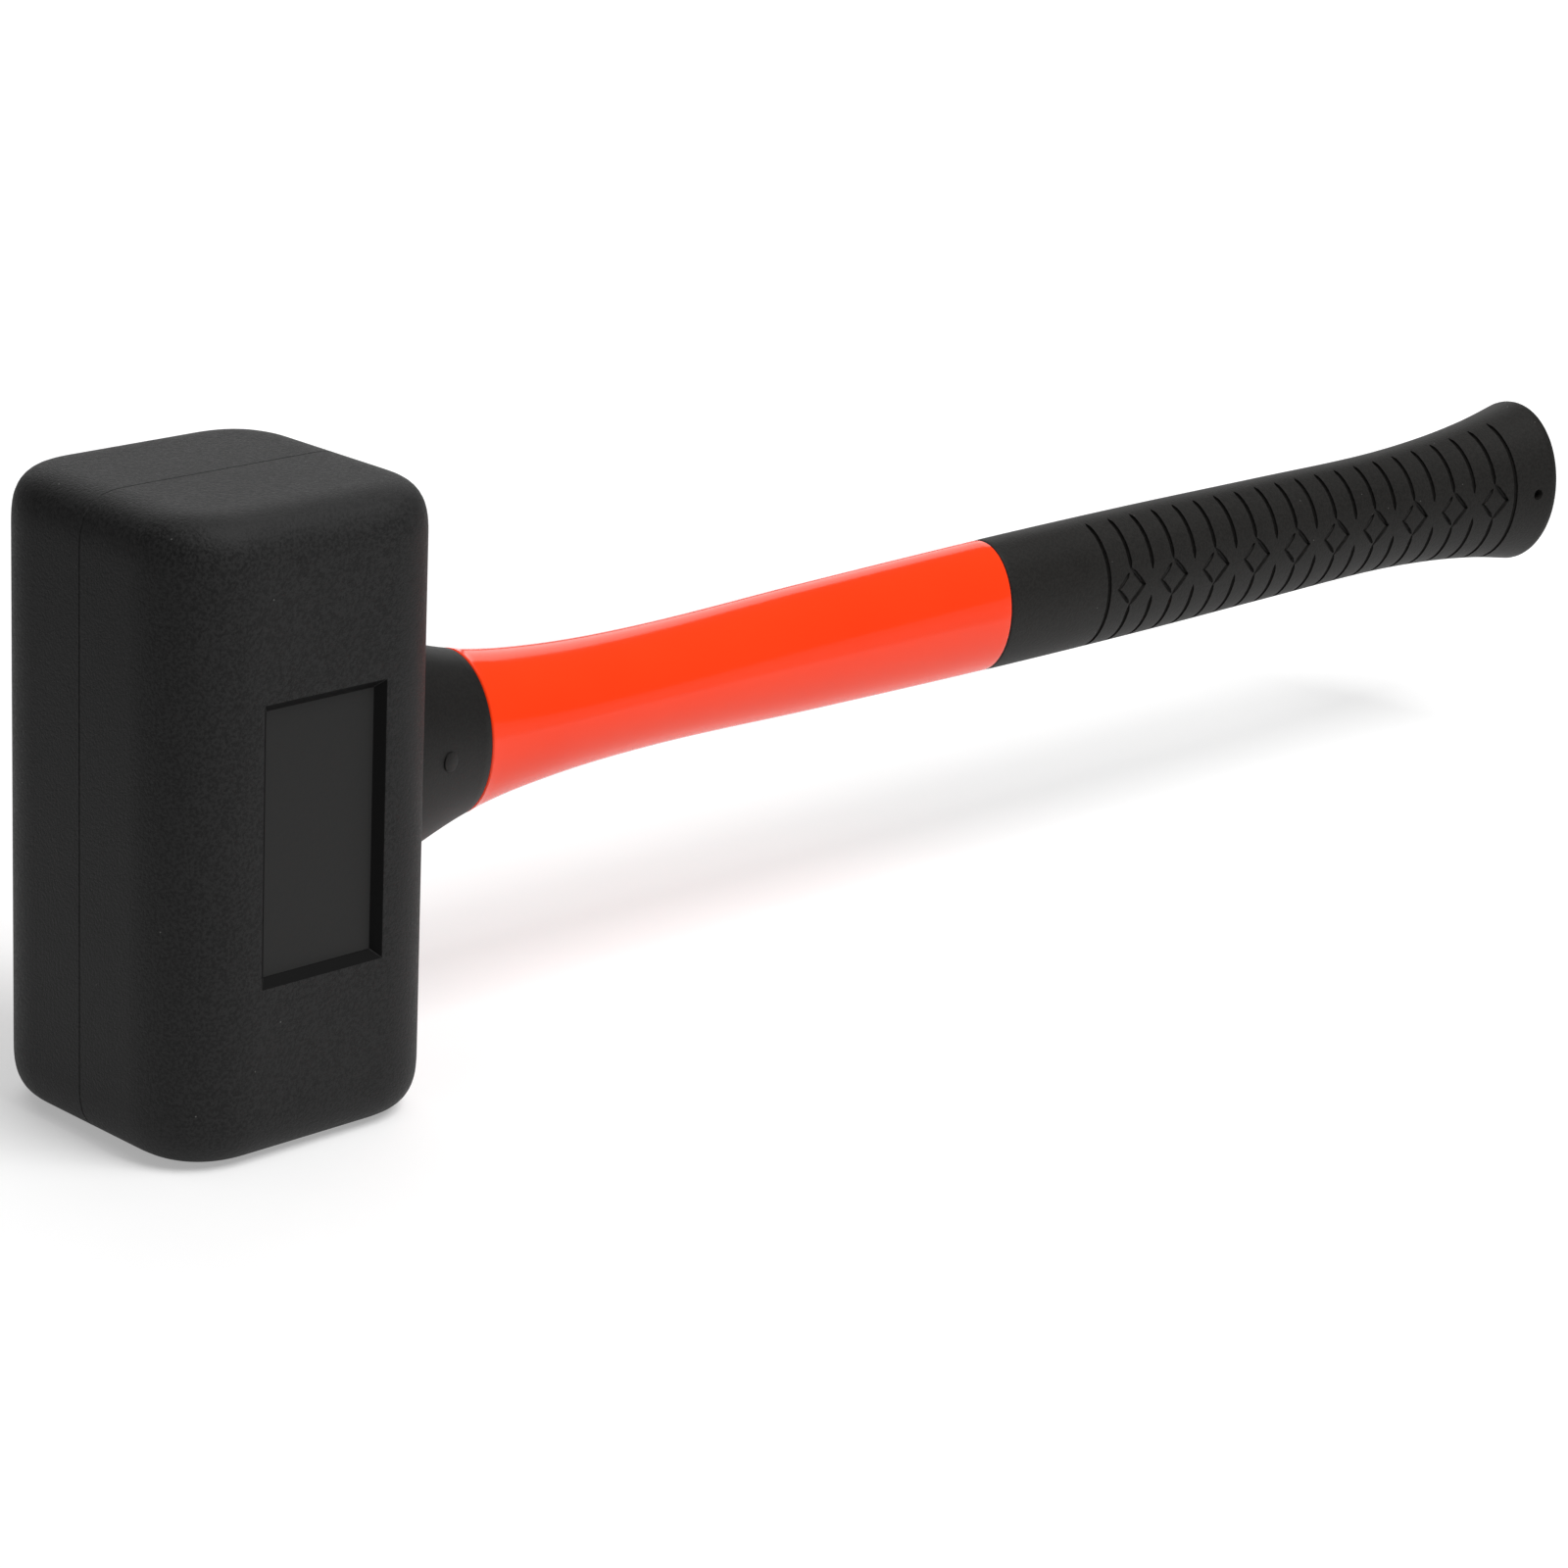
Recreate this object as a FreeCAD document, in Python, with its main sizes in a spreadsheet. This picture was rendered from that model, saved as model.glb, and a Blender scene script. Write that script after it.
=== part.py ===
"""Paving lump hammer: a steel lump moulded into a rubber block, on a two-colour glass-fibre handle.

Millimetres. The origin is the centre of the lower striking face, +Z runs up the striking axis
and +X runs out along the handle to the butt. The handle's own axis lies at half the head's height.
"""
import FreeCAD, Part
import os
import Sketcher

Vector = FreeCAD.Vector
Placement = FreeCAD.Placement
Rotation = FreeCAD.Rotation

doc = FreeCAD.newDocument("paving_hammer")

# ---------------------------------------------------------------- driving dimensions
SIZES = [
    # the moulded rubber head
    ("head_length", 139.0, "between the two striking faces, along Z"),
    ("head_width", 70.6, "cheek to cheek, along Y"),
    ("head_depth", 71.5, "front to handle side, along X"),
    ("corner_radius", 17.8, "on the four long edges"),
    ("face_radius", 9.2, "round both striking faces"),
    ("recess_width", 31.9, "label recess at the cheek's surface, along X"),
    ("recess_height", 61.0, "label recess at the cheek's surface, along Z"),
    ("recess_depth", 2.0, "below the cheek"),
    ("recess_slope", 1.8, "run of the recess's sloping walls"),
    ("axis_rise", 0.85, "of the handle's axis above the head's middle"),
    ("seam_width", 0.45, "mould parting line"),
    ("seam_depth", 0.25, "mould parting line"),
    # the steel lump inside it
    ("core_length", 112.0, "steel lump along Z"),
    ("core_width", 46.0, "steel lump along Y"),
    ("core_depth", 48.0, "steel lump along X"),
    ("core_chamfer", 6.0, "on the lump's long edges"),
    ("eye_half_height", 13.0, "eye through the lump, half along Z"),
    ("eye_half_width", 8.0, "eye through the lump, half along Y"),
    ("key_radius", 6.0, "cross holes that the rubber fills, to key it on"),
    ("key_offset", 36.0, "of each key hole above and below the eye"),
    ("pin_radius", 2.5, "steel pin across the eye"),
    ("pin_chamfer", 0.6, "at both ends of the pin"),
    # the glass-fibre rod and the plastic moulded on it
    ("rod_half_height", 11.0, "glass-fibre rod, half along Z"),
    ("rod_half_width", 6.0, "glass-fibre rod, half along Y"),
    ("rod_start", -19.0, "rod's end in the eye"),
    ("rod_end", 434.0, "rod's end at the butt"),
    ("neck_half_height", 15.0, "jacket's neck under the collar"),
    ("neck_half_width", 10.5, "jacket's neck under the collar"),
    ("tail_half_height", 13.4, "jacket's tail under the grip"),
    ("tail_half_width", 8.2, "jacket's tail under the grip"),
    ("tail_end", 436.0, "jacket's end at the butt"),
    # the handle from outside
    ("butt_radius", 4.0, "on the butt's rim"),
    ("mark_place", 50.1, "moulding mark on the collar, along X"),
    ("mark_radius", 2.2, "moulding mark"),
    ("mark_rise", 0.3, "of the mark above the collar"),
    ("hole_place", 434.0, "locating holes near the butt, along X"),
    ("hole_radius", 1.5, "locating holes"),
    # the grip's moulded grooves
    ("groove_width", 1.3, "of the grooves"),
    ("groove_depth", 0.9, "of the grooves"),
    ("chevron_width", 0.9, "of the finer side of each diamond"),
    ("strip_half_width", 3.0, "plain strip along the grip's top and bottom"),
    ("first_ring", 266.9, "first full groove, along X"),
    ("last_ring", 425.6, "last full groove, along X"),
    ("first_diamond", 275.0, "middle of the first diamond, along X"),
    ("diamond_pitch", 15.86, "from one diamond to the next"),
    ("diamond_radius", 4.5, "from a diamond's middle to the middle of its corners"),
    ("rib_gap", 3.3, "from the mid-line to the end of each short groove"),
]
DIAMONDS = 10

sheet = doc.addObject("Spreadsheet::Sheet", "dims")
for row, (alias, value, meaning) in enumerate(SIZES, start=1):
    sheet.set(f"A{row}", alias)
    sheet.set(f"B{row}", str(value))
    sheet.set(f"C{row}", meaning)
    sheet.setAlias(f"B{row}", alias)

# The handle's outline from outside: an oval at each station, as place, half height and half width.
# The collar ends at the "collar" station, the jacket at the "shoulder" and the grip at the "butt".
STATIONS = [
    ("root", 35.75, 28.0, 18.9),
    ("collar", 64.0, 18.8, 14.3),
    ("waist_in", 90.0, 15.1, 13.0),
    ("waist", 123.0, 14.0, 12.0),
    ("waist_out", 173.0, 15.2, 11.4),
    ("shoulder", 232.0, 16.2, 11.1),
    ("hand_in", 285.0, 16.4, 11.1),
    ("hand", 336.0, 16.0, 11.0),
    ("hand_out", 378.0, 15.7, 11.1),
    ("flare_in", 403.0, 16.8, 12.0),
    ("flare", 424.0, 19.0, 13.8),
    ("butt", 443.0, 22.3, 16.5),
]
first_row = len(SIZES) + 2
for row, (name, place, half_height, half_width) in enumerate(STATIONS, start=first_row):
    for column, part, value in zip("BCD", ("place", "rise", "reach"), (place, half_height, half_width)):
        sheet.set(f"{column}{row}", str(value))
        sheet.setAlias(f"{column}{row}", f"{name}_{part}")
    sheet.set(f"A{row}", name)
doc.recompute()


def size(alias):
    """A driving dimension, for the few shapes that are not bound by an expression."""
    return float(sheet.get(alias))


def bind(thing, **expressions):
    """Binds properties to the sheet; a double underscore stands for the dot of a sub-property."""
    for name, expression in expressions.items():
        thing.setExpression(name.replace("__", "."), expression)
    return thing


def place(thing, x="0", y="0", z="0"):
    return bind(thing, Placement__Base__x=x, Placement__Base__y=y, Placement__Base__z=z)


AXIS_HEIGHT = "(dims.head_length / 2 + dims.axis_rise)"
MIDDLE_HEIGHT = "dims.head_length / 2"


# ---------------------------------------------------------------- small builders
def box(name, x, y, z, length, width, height):
    """A Part::Box from its low corner and its three sizes, all expressions."""
    made = doc.addObject("Part::Box", name)
    bind(made, Length=length, Width=width, Height=height)
    return place(made, x, y, z)


def oval(name, along, half_height, half_width):
    """An upright oval across the handle at a place along X."""
    made = doc.addObject("Part::Ellipse", name)
    made.Placement = Placement(Vector(0, 0, 0), Rotation(Vector(0, 1, 0), -90))
    bind(made, MajorRadius=half_height, MinorRadius=half_width)
    return place(made, along, "0", AXIS_HEIGHT)


def oval_bar(name, start, end, half_height, half_width):
    """A straight bar of oval section along the handle's axis."""
    made = doc.addObject("Part::Extrusion", name)
    made.Base = oval(name + "_section", start, half_height, half_width)
    made.DirMode = "Custom"
    made.Dir = Vector(1, 0, 0)
    made.Solid = True
    return bind(made, LengthFwd=f"({end}) - ({start})")


def cross_bar(name, radius, length, x, z):
    """A round bar across the handle, along Y and centred on it."""
    made = doc.addObject("Part::Cylinder", name)
    made.Placement = Placement(Vector(0, 0, 0), Rotation(Vector(1, 0, 0), -90))
    bind(made, Radius=radius, Height=length)
    return place(made, x, f"-({length}) / 2", z)


def cut(name, base, *tools):
    made = doc.addObject("Part::Cut", name)
    made.Base = base
    made.Tool = tools[0] if len(tools) == 1 else fuse(name + "_tools", *tools)
    return made


def common(name, base, tool):
    made = doc.addObject("Part::Common", name)
    made.Base = base
    made.Tool = tool
    return made


def fuse(name, *shapes):
    made = doc.addObject("Part::MultiFuse", name)
    made.Shapes = list(shapes)
    return made


def slab(name, start, end):
    """A slab across the handle, wider than the handle anywhere."""
    half = "dims.head_width"
    low = f"{AXIS_HEIGHT} - {half}"
    return box(name, start, f"-{half}", low, f"({end}) - ({start})", f"2 * {half}", f"2 * {half}")


def rectangle_sketch(body, name, width, height):
    """A rectangle centred on the body's XY plane's origin."""
    sketch = body.newObject("Sketcher::SketchObject", name)
    plane = next(f for f in body.Origin.OriginFeatures if f.Role == "XY_Plane")
    sketch.AttachmentSupport = (plane, [""])
    sketch.MapMode = "FlatFace"
    corners = [Vector(-10, -10, 0), Vector(10, -10, 0), Vector(10, 10, 0), Vector(-10, 10, 0)]
    for n in range(4):
        sketch.addGeometry(Part.LineSegment(corners[n], corners[(n + 1) % 4]))
    for n in range(4):
        sketch.addConstraint(Sketcher.Constraint("Coincident", n, 2, (n + 1) % 4, 1))
    for n in (0, 2):
        sketch.addConstraint(Sketcher.Constraint("Horizontal", n))
    for n in (1, 3):
        sketch.addConstraint(Sketcher.Constraint("Vertical", n))
    sketch.addConstraint(Sketcher.Constraint("Symmetric", 0, 1, 1, 2, -1, 1))
    across = sketch.addConstraint(Sketcher.Constraint("DistanceX", 0, 1, 0, 2, 20))
    along = sketch.addConstraint(Sketcher.Constraint("DistanceY", 1, 1, 1, 2, 20))
    sketch.setExpression(f"Constraints[{across}]", width)
    sketch.setExpression(f"Constraints[{along}]", height)
    return sketch


def edges_where(feature, wanted):
    return [f"Edge{n}" for n, edge in enumerate(feature.Shape.Edges, start=1) if wanted(edge.BoundBox)]


def upright(bounds):
    return bounds.ZLength > 1 and bounds.XLength < 1e-3 and bounds.YLength < 1e-3


def level(bounds):
    return bounds.ZLength < 1e-3


def block(name, depth, width, height, base_height):
    """A PartDesign body: an upright rectangular block, centred on Z."""
    body = doc.addObject("PartDesign::Body", name)
    sketch = rectangle_sketch(body, name + "_plan", depth, width)
    pad = body.newObject("PartDesign::Pad", name + "_pad")
    pad.Profile = sketch
    bind(pad, Length=height)
    place(body, "0", "0", base_height)
    doc.recompute()
    return body, pad


def dress(body, kind, name, edges, expression):
    """A PartDesign fillet or chamfer on some edges of the body's tip."""
    base = body.Tip
    made = body.newObject("PartDesign::" + kind, name)
    made.Base = (base, edges)
    bind(made, **{"Radius" if kind == "Fillet" else "Size": expression})
    doc.recompute()
    return made


# ---------------------------------------------------------------- steel lump with its eye
lump, lump_pad = block(
    "steel_lump",
    "dims.core_depth",
    "dims.core_width",
    "dims.core_length",
    "(dims.head_length - dims.core_length) / 2",
)
dress(lump, "Chamfer", "lump_corners", edges_where(lump_pad, upright), "dims.core_chamfer")
dress(lump, "Chamfer", "lump_ends", edges_where(lump.Tip, level), "dims.core_chamfer / 2")

EYE = ("-dims.core_depth / 2", "dims.core_depth / 2", "dims.eye_half_height", "dims.eye_half_width")
eye = oval_bar("eye", *EYE)
key_holes = [
    cross_bar(f"{name}_key", "dims.key_radius", "dims.core_width", "0", height)
    for name, height in (
        ("upper", f"{MIDDLE_HEIGHT} + dims.key_offset"),
        ("lower", f"{MIDDLE_HEIGHT} - dims.key_offset"),
    )
]
pin_hole = cross_bar("pin_hole", "dims.pin_radius", "dims.core_width", "0", AXIS_HEIGHT)
steel_core = cut("steel_core", lump, eye, *key_holes, pin_hole)

# ---------------------------------------------------------------- steel pin across the eye
dowel_pin = doc.addObject("PartDesign::Body", "dowel_pin")
pin_bar = dowel_pin.newObject("PartDesign::AdditiveCylinder", "pin_bar")
bind(pin_bar, Radius="dims.pin_radius", Height="dims.core_width")
dowel_pin.Placement = Placement(Vector(0, 0, 0), Rotation(Vector(1, 0, 0), -90))
place(dowel_pin, "0", "-dims.core_width / 2", AXIS_HEIGHT)
doc.recompute()
pin_rims = [f"Edge{n}" for n, edge in enumerate(pin_bar.Shape.Edges, start=1) if level(edge.BoundBox)]
dress(dowel_pin, "Chamfer", "pin_ends", pin_rims, "dims.pin_chamfer")

# ---------------------------------------------------------------- glass-fibre rod
rod_bar = oval_bar(
    "rod_bar", "dims.rod_start", "dims.rod_end", "dims.rod_half_height", "dims.rod_half_width"
)
handle_rod = cut("handle_rod", rod_bar, pin_hole)

# ---------------------------------------------------------------- resin that fills the eye
eye_fill = oval_bar("eye_fill", *EYE)
eye_resin = cut("eye_resin", eye_fill, rod_bar, pin_hole)

# ---------------------------------------------------------------- the handle's outline from outside
envelope = doc.addObject("Part::Loft", "envelope")
envelope.Sections = [
    oval(f"{name}_oval", f"dims.{name}_place", f"dims.{name}_rise", f"dims.{name}_reach")
    for name, *_ in STATIONS
]
envelope.Solid = True

# ---------------------------------------------------------------- orange jacket, moulded on the rod
jacket_span = slab("jacket_span", "dims.collar_place", "dims.shoulder_place")
jacket_skin = common("jacket_skin", envelope, jacket_span)
jacket_neck = oval_bar(
    "jacket_neck",
    "dims.core_depth / 2",
    "dims.collar_place + 1",
    "dims.neck_half_height",
    "dims.neck_half_width",
)
jacket_tail = oval_bar(
    "jacket_tail",
    "dims.shoulder_place - 1",
    "dims.tail_end",
    "dims.tail_half_height",
    "dims.tail_half_width",
)
jacket_solid = fuse("jacket_solid", jacket_skin, jacket_neck, jacket_tail)
handle_jacket = cut("handle_jacket", jacket_solid, rod_bar)

# ---------------------------------------------------------------- black collar against the head
collar_skin = common("collar_skin", envelope, slab("collar_span", "dims.root_place", "dims.collar_place"))
# The mark is a low round disc on each side, left by the mould: the collar's own outline, swollen a little.
mark_bar = cross_bar("mark_bar", "dims.mark_radius", "2 * dims.root_reach", "dims.mark_place", AXIS_HEIGHT)
swollen_collar = doc.addObject("Part::Loft", "swollen_collar")
swollen_collar.Sections = [
    oval(
        f"{name}_swollen", f"dims.{name}_place", f"dims.{name}_rise + dims.mark_rise",
        f"dims.{name}_reach + dims.mark_rise"
    )
    for name, *_ in STATIONS
]
swollen_collar.Solid = True
collar_mark = common("collar_mark", swollen_collar, mark_bar)
collar_solid = fuse("collar_solid", collar_skin, collar_mark)
neck_collar = cut("neck_collar", collar_solid, jacket_neck)

# ---------------------------------------------------------------- grip: outline with a rounded butt
grip_skin = common("grip_skin", envelope, slab("grip_span", "dims.shoulder_place", "dims.butt_place"))
doc.recompute()
butt_rims = [
    n
    for n, edge in enumerate(grip_skin.Shape.Edges, start=1)
    if edge.BoundBox.XMin > size("butt_place") - 0.01
]
rounded_grip = doc.addObject("Part::Fillet", "rounded_grip")
rounded_grip.Base = grip_skin
rounded_grip.Edges = [(n, size("butt_radius"), size("butt_radius")) for n in butt_rims]

# ---------------------------------------------------------------- grip: grooves on both sides
# Each groove is a bar right across the handle. What lies deeper than the grooves, and the plain
# strips along the top and bottom, are kept out of the cutter.
ACROSS = "dims.head_width"


def upright_bar(name, along, low, high, width="dims.groove_width"):
    """A bar across the handle whose ends lie at two heights from the handle's axis."""
    return box(
        name,
        f"{along} - {width} / 2",
        f"-{ACROSS} / 2",
        f"{AXIS_HEIGHT} + ({low})",
        width,
        ACROSS,
        f"({high}) - ({low})",
    )


def lozenge(name, along, radius, shift="0"):
    """A four-sided bar across the handle, standing on its corner."""
    made = doc.addObject("Part::Prism", name)
    made.Placement = Placement(Vector(0, 0, 0), Rotation(Vector(1, 0, 0), -90))
    made.Polygon = 4
    bind(made, Circumradius=radius, Height=ACROSS)
    return place(made, f"{along} + {shift}", f"-{ACROSS} / 2", AXIS_HEIGHT)


top = "2 * dims.butt_rise"
bars = [upright_bar(f"{name}_bar", f"dims.{name}", f"-{top}", top) for name in ("first_ring", "last_ring")]
for n in range(DIAMONDS):
    middle = f"dims.first_diamond + {n} * dims.diamond_pitch"
    # A wall of width w measured square to it is w times root two wide at the corner.
    outer = lozenge(f"diamond_outside_{n}", middle, "dims.diamond_radius + 0.7071 * dims.groove_width")
    inner = lozenge(
        f"diamond_inside_{n}",
        middle,
        "dims.diamond_radius - 0.7071 * (dims.chevron_width + dims.groove_width) / 2",
        "0.7071 * (dims.chevron_width - dims.groove_width) / 2",
    )
    bars.append(cut(f"diamond_{n}", outer, inner))
    bars.append(upright_bar(f"long_up_{n}", middle, "dims.diamond_radius", top))
    bars.append(upright_bar(f"long_down_{n}", middle, f"-{top}", "-dims.diamond_radius"))
    if n < DIAMONDS - 1:
        between = f"{middle} + dims.diamond_pitch / 2"
        bars.append(upright_bar(f"short_up_{n}", between, "dims.rib_gap", top))
        bars.append(upright_bar(f"short_down_{n}", between, f"-{top}", "-dims.rib_gap"))

groove_floor = doc.addObject("Part::Loft", "groove_floor")
groove_floor.Sections = [
    oval(
        f"{name}_floor", f"dims.{name}_place", f"dims.{name}_rise - dims.groove_depth",
        f"dims.{name}_reach - dims.groove_depth"
    )
    for name, *_ in STATIONS
]
groove_floor.Solid = True
plain_strips = box(
    "plain_strips",
    "dims.shoulder_place",
    "-dims.strip_half_width",
    f"{AXIS_HEIGHT} - {top}",
    "dims.butt_place - dims.shoulder_place",
    "2 * dims.strip_half_width",
    f"2 * {top}",
)
grooves = cut("grooves", fuse("groove_bars", *bars), groove_floor, plain_strips)
# Locating pins held the rod in the mould and left a small blind hole on each side near the butt.
locating_bar = cross_bar("locating_bar", "dims.hole_radius", ACROSS, "dims.hole_place", AXIS_HEIGHT)
grip_sleeve = cut("grip_sleeve", rounded_grip, grooves, locating_bar, jacket_tail)

# ---------------------------------------------------------------- rubber block, moulded round the lump
rubber_block, rubber_pad = block(
    "rubber_block", "dims.head_depth", "dims.head_width", "dims.head_length", "0"
)
dress(rubber_block, "Fillet", "block_corners", edges_where(rubber_pad, upright), "dims.corner_radius")
dress(rubber_block, "Fillet", "block_rims", edges_where(rubber_block.Tip, level), "dims.face_radius")

seam_depth, seam_pad = block(
    "seam_inside",
    "dims.head_depth - 2 * dims.seam_depth",
    "dims.head_width",
    "dims.head_length - 2 * dims.seam_depth",
    "dims.seam_depth",
)
inside_corners = "dims.face_radius - dims.seam_depth"
seam_ends = [
    f"Edge{n}"
    for n, edge in enumerate(seam_pad.Shape.Edges, start=1)
    if edge.BoundBox.YLength > 1 and edge.BoundBox.XLength < 1e-3
]
dress(seam_depth, "Fillet", "seam_corners", seam_ends, inside_corners)
seam_slab = box(
    "seam_slab",
    "-dims.head_depth",
    "-dims.seam_width / 2",
    "-1",
    "2 * dims.head_depth",
    "dims.seam_width",
    "dims.head_length + 2",
)
seam = cut("seam", seam_slab, seam_depth)


def recess(name, side):
    """A shallow label recess with sloping walls, sunk in one cheek; side is -1 or 1."""
    made = doc.addObject("Part::Wedge", name)
    spread_x = "dims.recess_width / 2"
    spread_z = "dims.recess_height / 2"
    # The wedge's own Y runs from the opening to the floor, or the other way on the far cheek.
    opening, floor = ("", "2") if side < 0 else ("2", "")
    low = f"-{ACROSS} / 2" if side < 0 else f"{ACROSS} / 2 - dims.recess_depth"
    bind(made, Ymin=low, Ymax=f"{low} + dims.recess_depth")
    suffixes = {"": ("Xmin", "Xmax", "Zmin", "Zmax"), "2": ("X2min", "X2max", "Z2min", "Z2max")}
    for key, inset in ((opening, "0"), (floor, "dims.recess_slope")):
        x_low, x_high, z_low, z_high = suffixes[key]
        bind(made, **{
            x_low: f"-{spread_x} + {inset}",
            x_high: f"{spread_x} - {inset}",
            z_low: f"{MIDDLE_HEIGHT} - {spread_z} + {inset}",
            z_high: f"{MIDDLE_HEIGHT} + {spread_z} - {inset}",
        })
    return made


recesses = [recess("near_recess", -1), recess("far_recess", 1)]
head_moulding = cut(
    "head_moulding", rubber_block, seam, *recesses, steel_core, eye_resin, dowel_pin, jacket_neck, rod_bar
)

# ---------------------------------------------------------------- checks and export
NODES = (
    head_moulding,
    steel_core,
    eye_resin,
    dowel_pin,
    handle_rod,
    handle_jacket,
    neck_collar,
    grip_sleeve,
)
for node in NODES:
    node.Label = node.Name
doc.recompute()

faults = [thing.Name for thing in doc.Objects if "Invalid" in thing.State or "Error" in thing.State]
if faults:
    raise RuntimeError(f"features with errors: {faults}")

os.makedirs("parts", exist_ok=True)
for node in NODES:
    shape = node.Shape
    if shape.isNull() or not shape.isValid() or len(shape.Solids) != 1:
        raise RuntimeError(f"{node.Name} is not one valid solid")
    shape.exportStep(f"parts/{node.Name}.step")
    bounds = shape.BoundBox
    print(
        f"{node.Name:14} {shape.Volume / 1000:8.2f} cm3  x {bounds.XMin:.2f} {bounds.XMax:.2f}"
        f"  y {bounds.YMin:.2f} {bounds.YMax:.2f}  z {bounds.ZMin:.2f} {bounds.ZMax:.2f}"
    )
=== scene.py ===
import math

import bpy
from mathutils import Matrix, Vector


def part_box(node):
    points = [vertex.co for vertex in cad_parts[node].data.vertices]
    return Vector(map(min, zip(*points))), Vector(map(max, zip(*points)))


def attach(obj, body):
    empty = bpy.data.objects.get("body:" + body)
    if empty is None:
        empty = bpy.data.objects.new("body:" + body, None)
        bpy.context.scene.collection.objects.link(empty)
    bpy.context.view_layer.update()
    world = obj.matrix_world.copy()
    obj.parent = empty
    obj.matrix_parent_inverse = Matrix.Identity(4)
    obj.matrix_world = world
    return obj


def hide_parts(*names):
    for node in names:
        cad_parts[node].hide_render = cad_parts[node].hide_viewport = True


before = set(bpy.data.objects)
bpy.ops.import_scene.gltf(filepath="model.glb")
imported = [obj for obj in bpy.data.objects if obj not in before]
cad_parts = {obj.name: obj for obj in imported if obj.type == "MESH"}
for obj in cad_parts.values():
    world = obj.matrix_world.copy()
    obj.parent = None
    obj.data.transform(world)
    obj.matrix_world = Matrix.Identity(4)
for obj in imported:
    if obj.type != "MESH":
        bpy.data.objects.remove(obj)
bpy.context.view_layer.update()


# ---------------------------------------------------------------------------------------------
# Head: a block of black rubber moulded round a steel lump. Its long edges and both rims are
# rounded, each cheek has a shallow label recess, and the mould's two halves leave a fine seam.
# ---------------------------------------------------------------------------------------------
MM = 0.001


def start(name):
    """Names the primitive just added, and puts its place, turn and size into its mesh."""
    piece = bpy.context.object
    piece.name = piece.data.name = name
    bpy.ops.object.transform_apply(location=True, rotation=True, scale=True)
    return piece


def alone(piece):
    """Makes this piece the only one selected, and active."""
    bpy.ops.object.select_all(action="DESELECT")
    piece.select_set(True)
    bpy.context.view_layer.objects.active = piece


def choose(kind, wanted):
    """In edit mode, selects the faces, edges or points that wanted() accepts, and no others."""
    mesh = bpy.context.object.data
    bpy.ops.mesh.select_mode(type=kind)
    bpy.ops.mesh.select_all(action="DESELECT")
    bpy.ops.object.mode_set(mode="OBJECT")
    if kind == "FACE":
        for face in mesh.polygons:
            face.select = wanted(face.center, face.normal)
    elif kind == "EDGE":
        for edge in mesh.edges:
            edge.select = wanted(*(mesh.vertices[n].co for n in edge.vertices))
    else:
        for point in mesh.vertices:
            point.select = wanted(point.co)
    bpy.ops.object.mode_set(mode="EDIT")


def finish_with(piece, kind, **settings):
    """Adds a modifier and applies it."""
    alone(piece)
    bpy.ops.object.modifier_add(type=kind)
    modifier = piece.modifiers[-1]
    for name, value in settings.items():
        setattr(modifier, name, value)
    bpy.ops.object.modifier_apply(modifier=modifier.name)


def carve(piece, cutter, operation="DIFFERENCE"):
    """Cuts one piece with another, or joins it on, and throws the other away."""
    finish_with(
        piece,
        "BOOLEAN",
        show_viewport=False,
        object=cutter,
        operation=operation,
        solver="EXACT",
        use_self=True,
    )
    bpy.data.objects.remove(cutter)


class Finish:
    """A socket in a finish's nodes. Sums and products of these add the Math nodes for them."""

    def __init__(self, tree, socket=None):
        self.tree = tree
        self.socket = socket

    def node(self, kind, inputs=None, output=0, **settings):
        """Adds any node: its settings first, then the values or links of its sockets."""
        made = self.tree.nodes.new(kind)
        for name, value in settings.items():
            setattr(made, name, value)
        for key, value in (inputs or {}).items():
            if isinstance(value, Finish):
                self.tree.links.new(value.socket, made.inputs[key])
            else:
                made.inputs[key].default_value = value
        return Finish(self.tree, made.outputs[output])

    def math(self, operation, first, second=0.0):
        return self.node("ShaderNodeMath", {0: first, 1: second}, operation=operation)

    def __add__(self, other):
        return self.math("ADD", self, other)

    def __sub__(self, other):
        return self.math("SUBTRACT", self, other)

    def __rsub__(self, other):
        return self.math("SUBTRACT", other, self)

    def __mul__(self, other):
        return self.math("MULTIPLY", self, other)

    __radd__ = __add__
    __rmul__ = __mul__

    def between(self, low, high):
        """0 where this is under low, 1 where it is over high, and a smooth step between."""
        return self.node(
            "ShaderNodeMapRange",
            {"Value": self, "From Min": low, "From Max": high},
            interpolation_type="SMOOTHSTEP",
        )

    def tint(self, first, second):
        """The first colour where this is 0 and the second where it is 1."""
        colours = [c if isinstance(c, Finish) else (*c, 1.0) for c in (first, second)]
        inputs = {0: self, 6: colours[0], 7: colours[1]}
        return self.node("ShaderNodeMix", inputs, output=2, data_type="RGBA")


def new_finish(name, **constants):
    """A material with one Principled shader: returns it, its nodes and the place on the piece."""
    material = bpy.data.materials.new(name)
    material.use_nodes = True
    shader = material.node_tree.nodes["Principled BSDF"]
    for socket, value in constants.items():
        shader.inputs[socket.replace("_", " ")].default_value = value
    nodes = Finish(material.node_tree)
    return material, nodes, nodes.node("ShaderNodeTexCoord", output="Object")


def lay_on(material, nodes, **maps):
    """Feeds what varies over the surface to the shader."""
    shader = material.node_tree.nodes["Principled BSDF"]
    for socket, value in maps.items():
        nodes.tree.links.new(value.socket, shader.inputs[socket.replace("_", " ")])


def speckle(nodes, place, scale, detail=2.0, roughness=0.5):
    """Fine noise from 0 to 1; scale is in grains per metre."""
    inputs = {"Vector": place, "Scale": scale, "Detail": detail, "Roughness": roughness}
    return nodes.node("ShaderNodeTexNoise", inputs)


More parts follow.
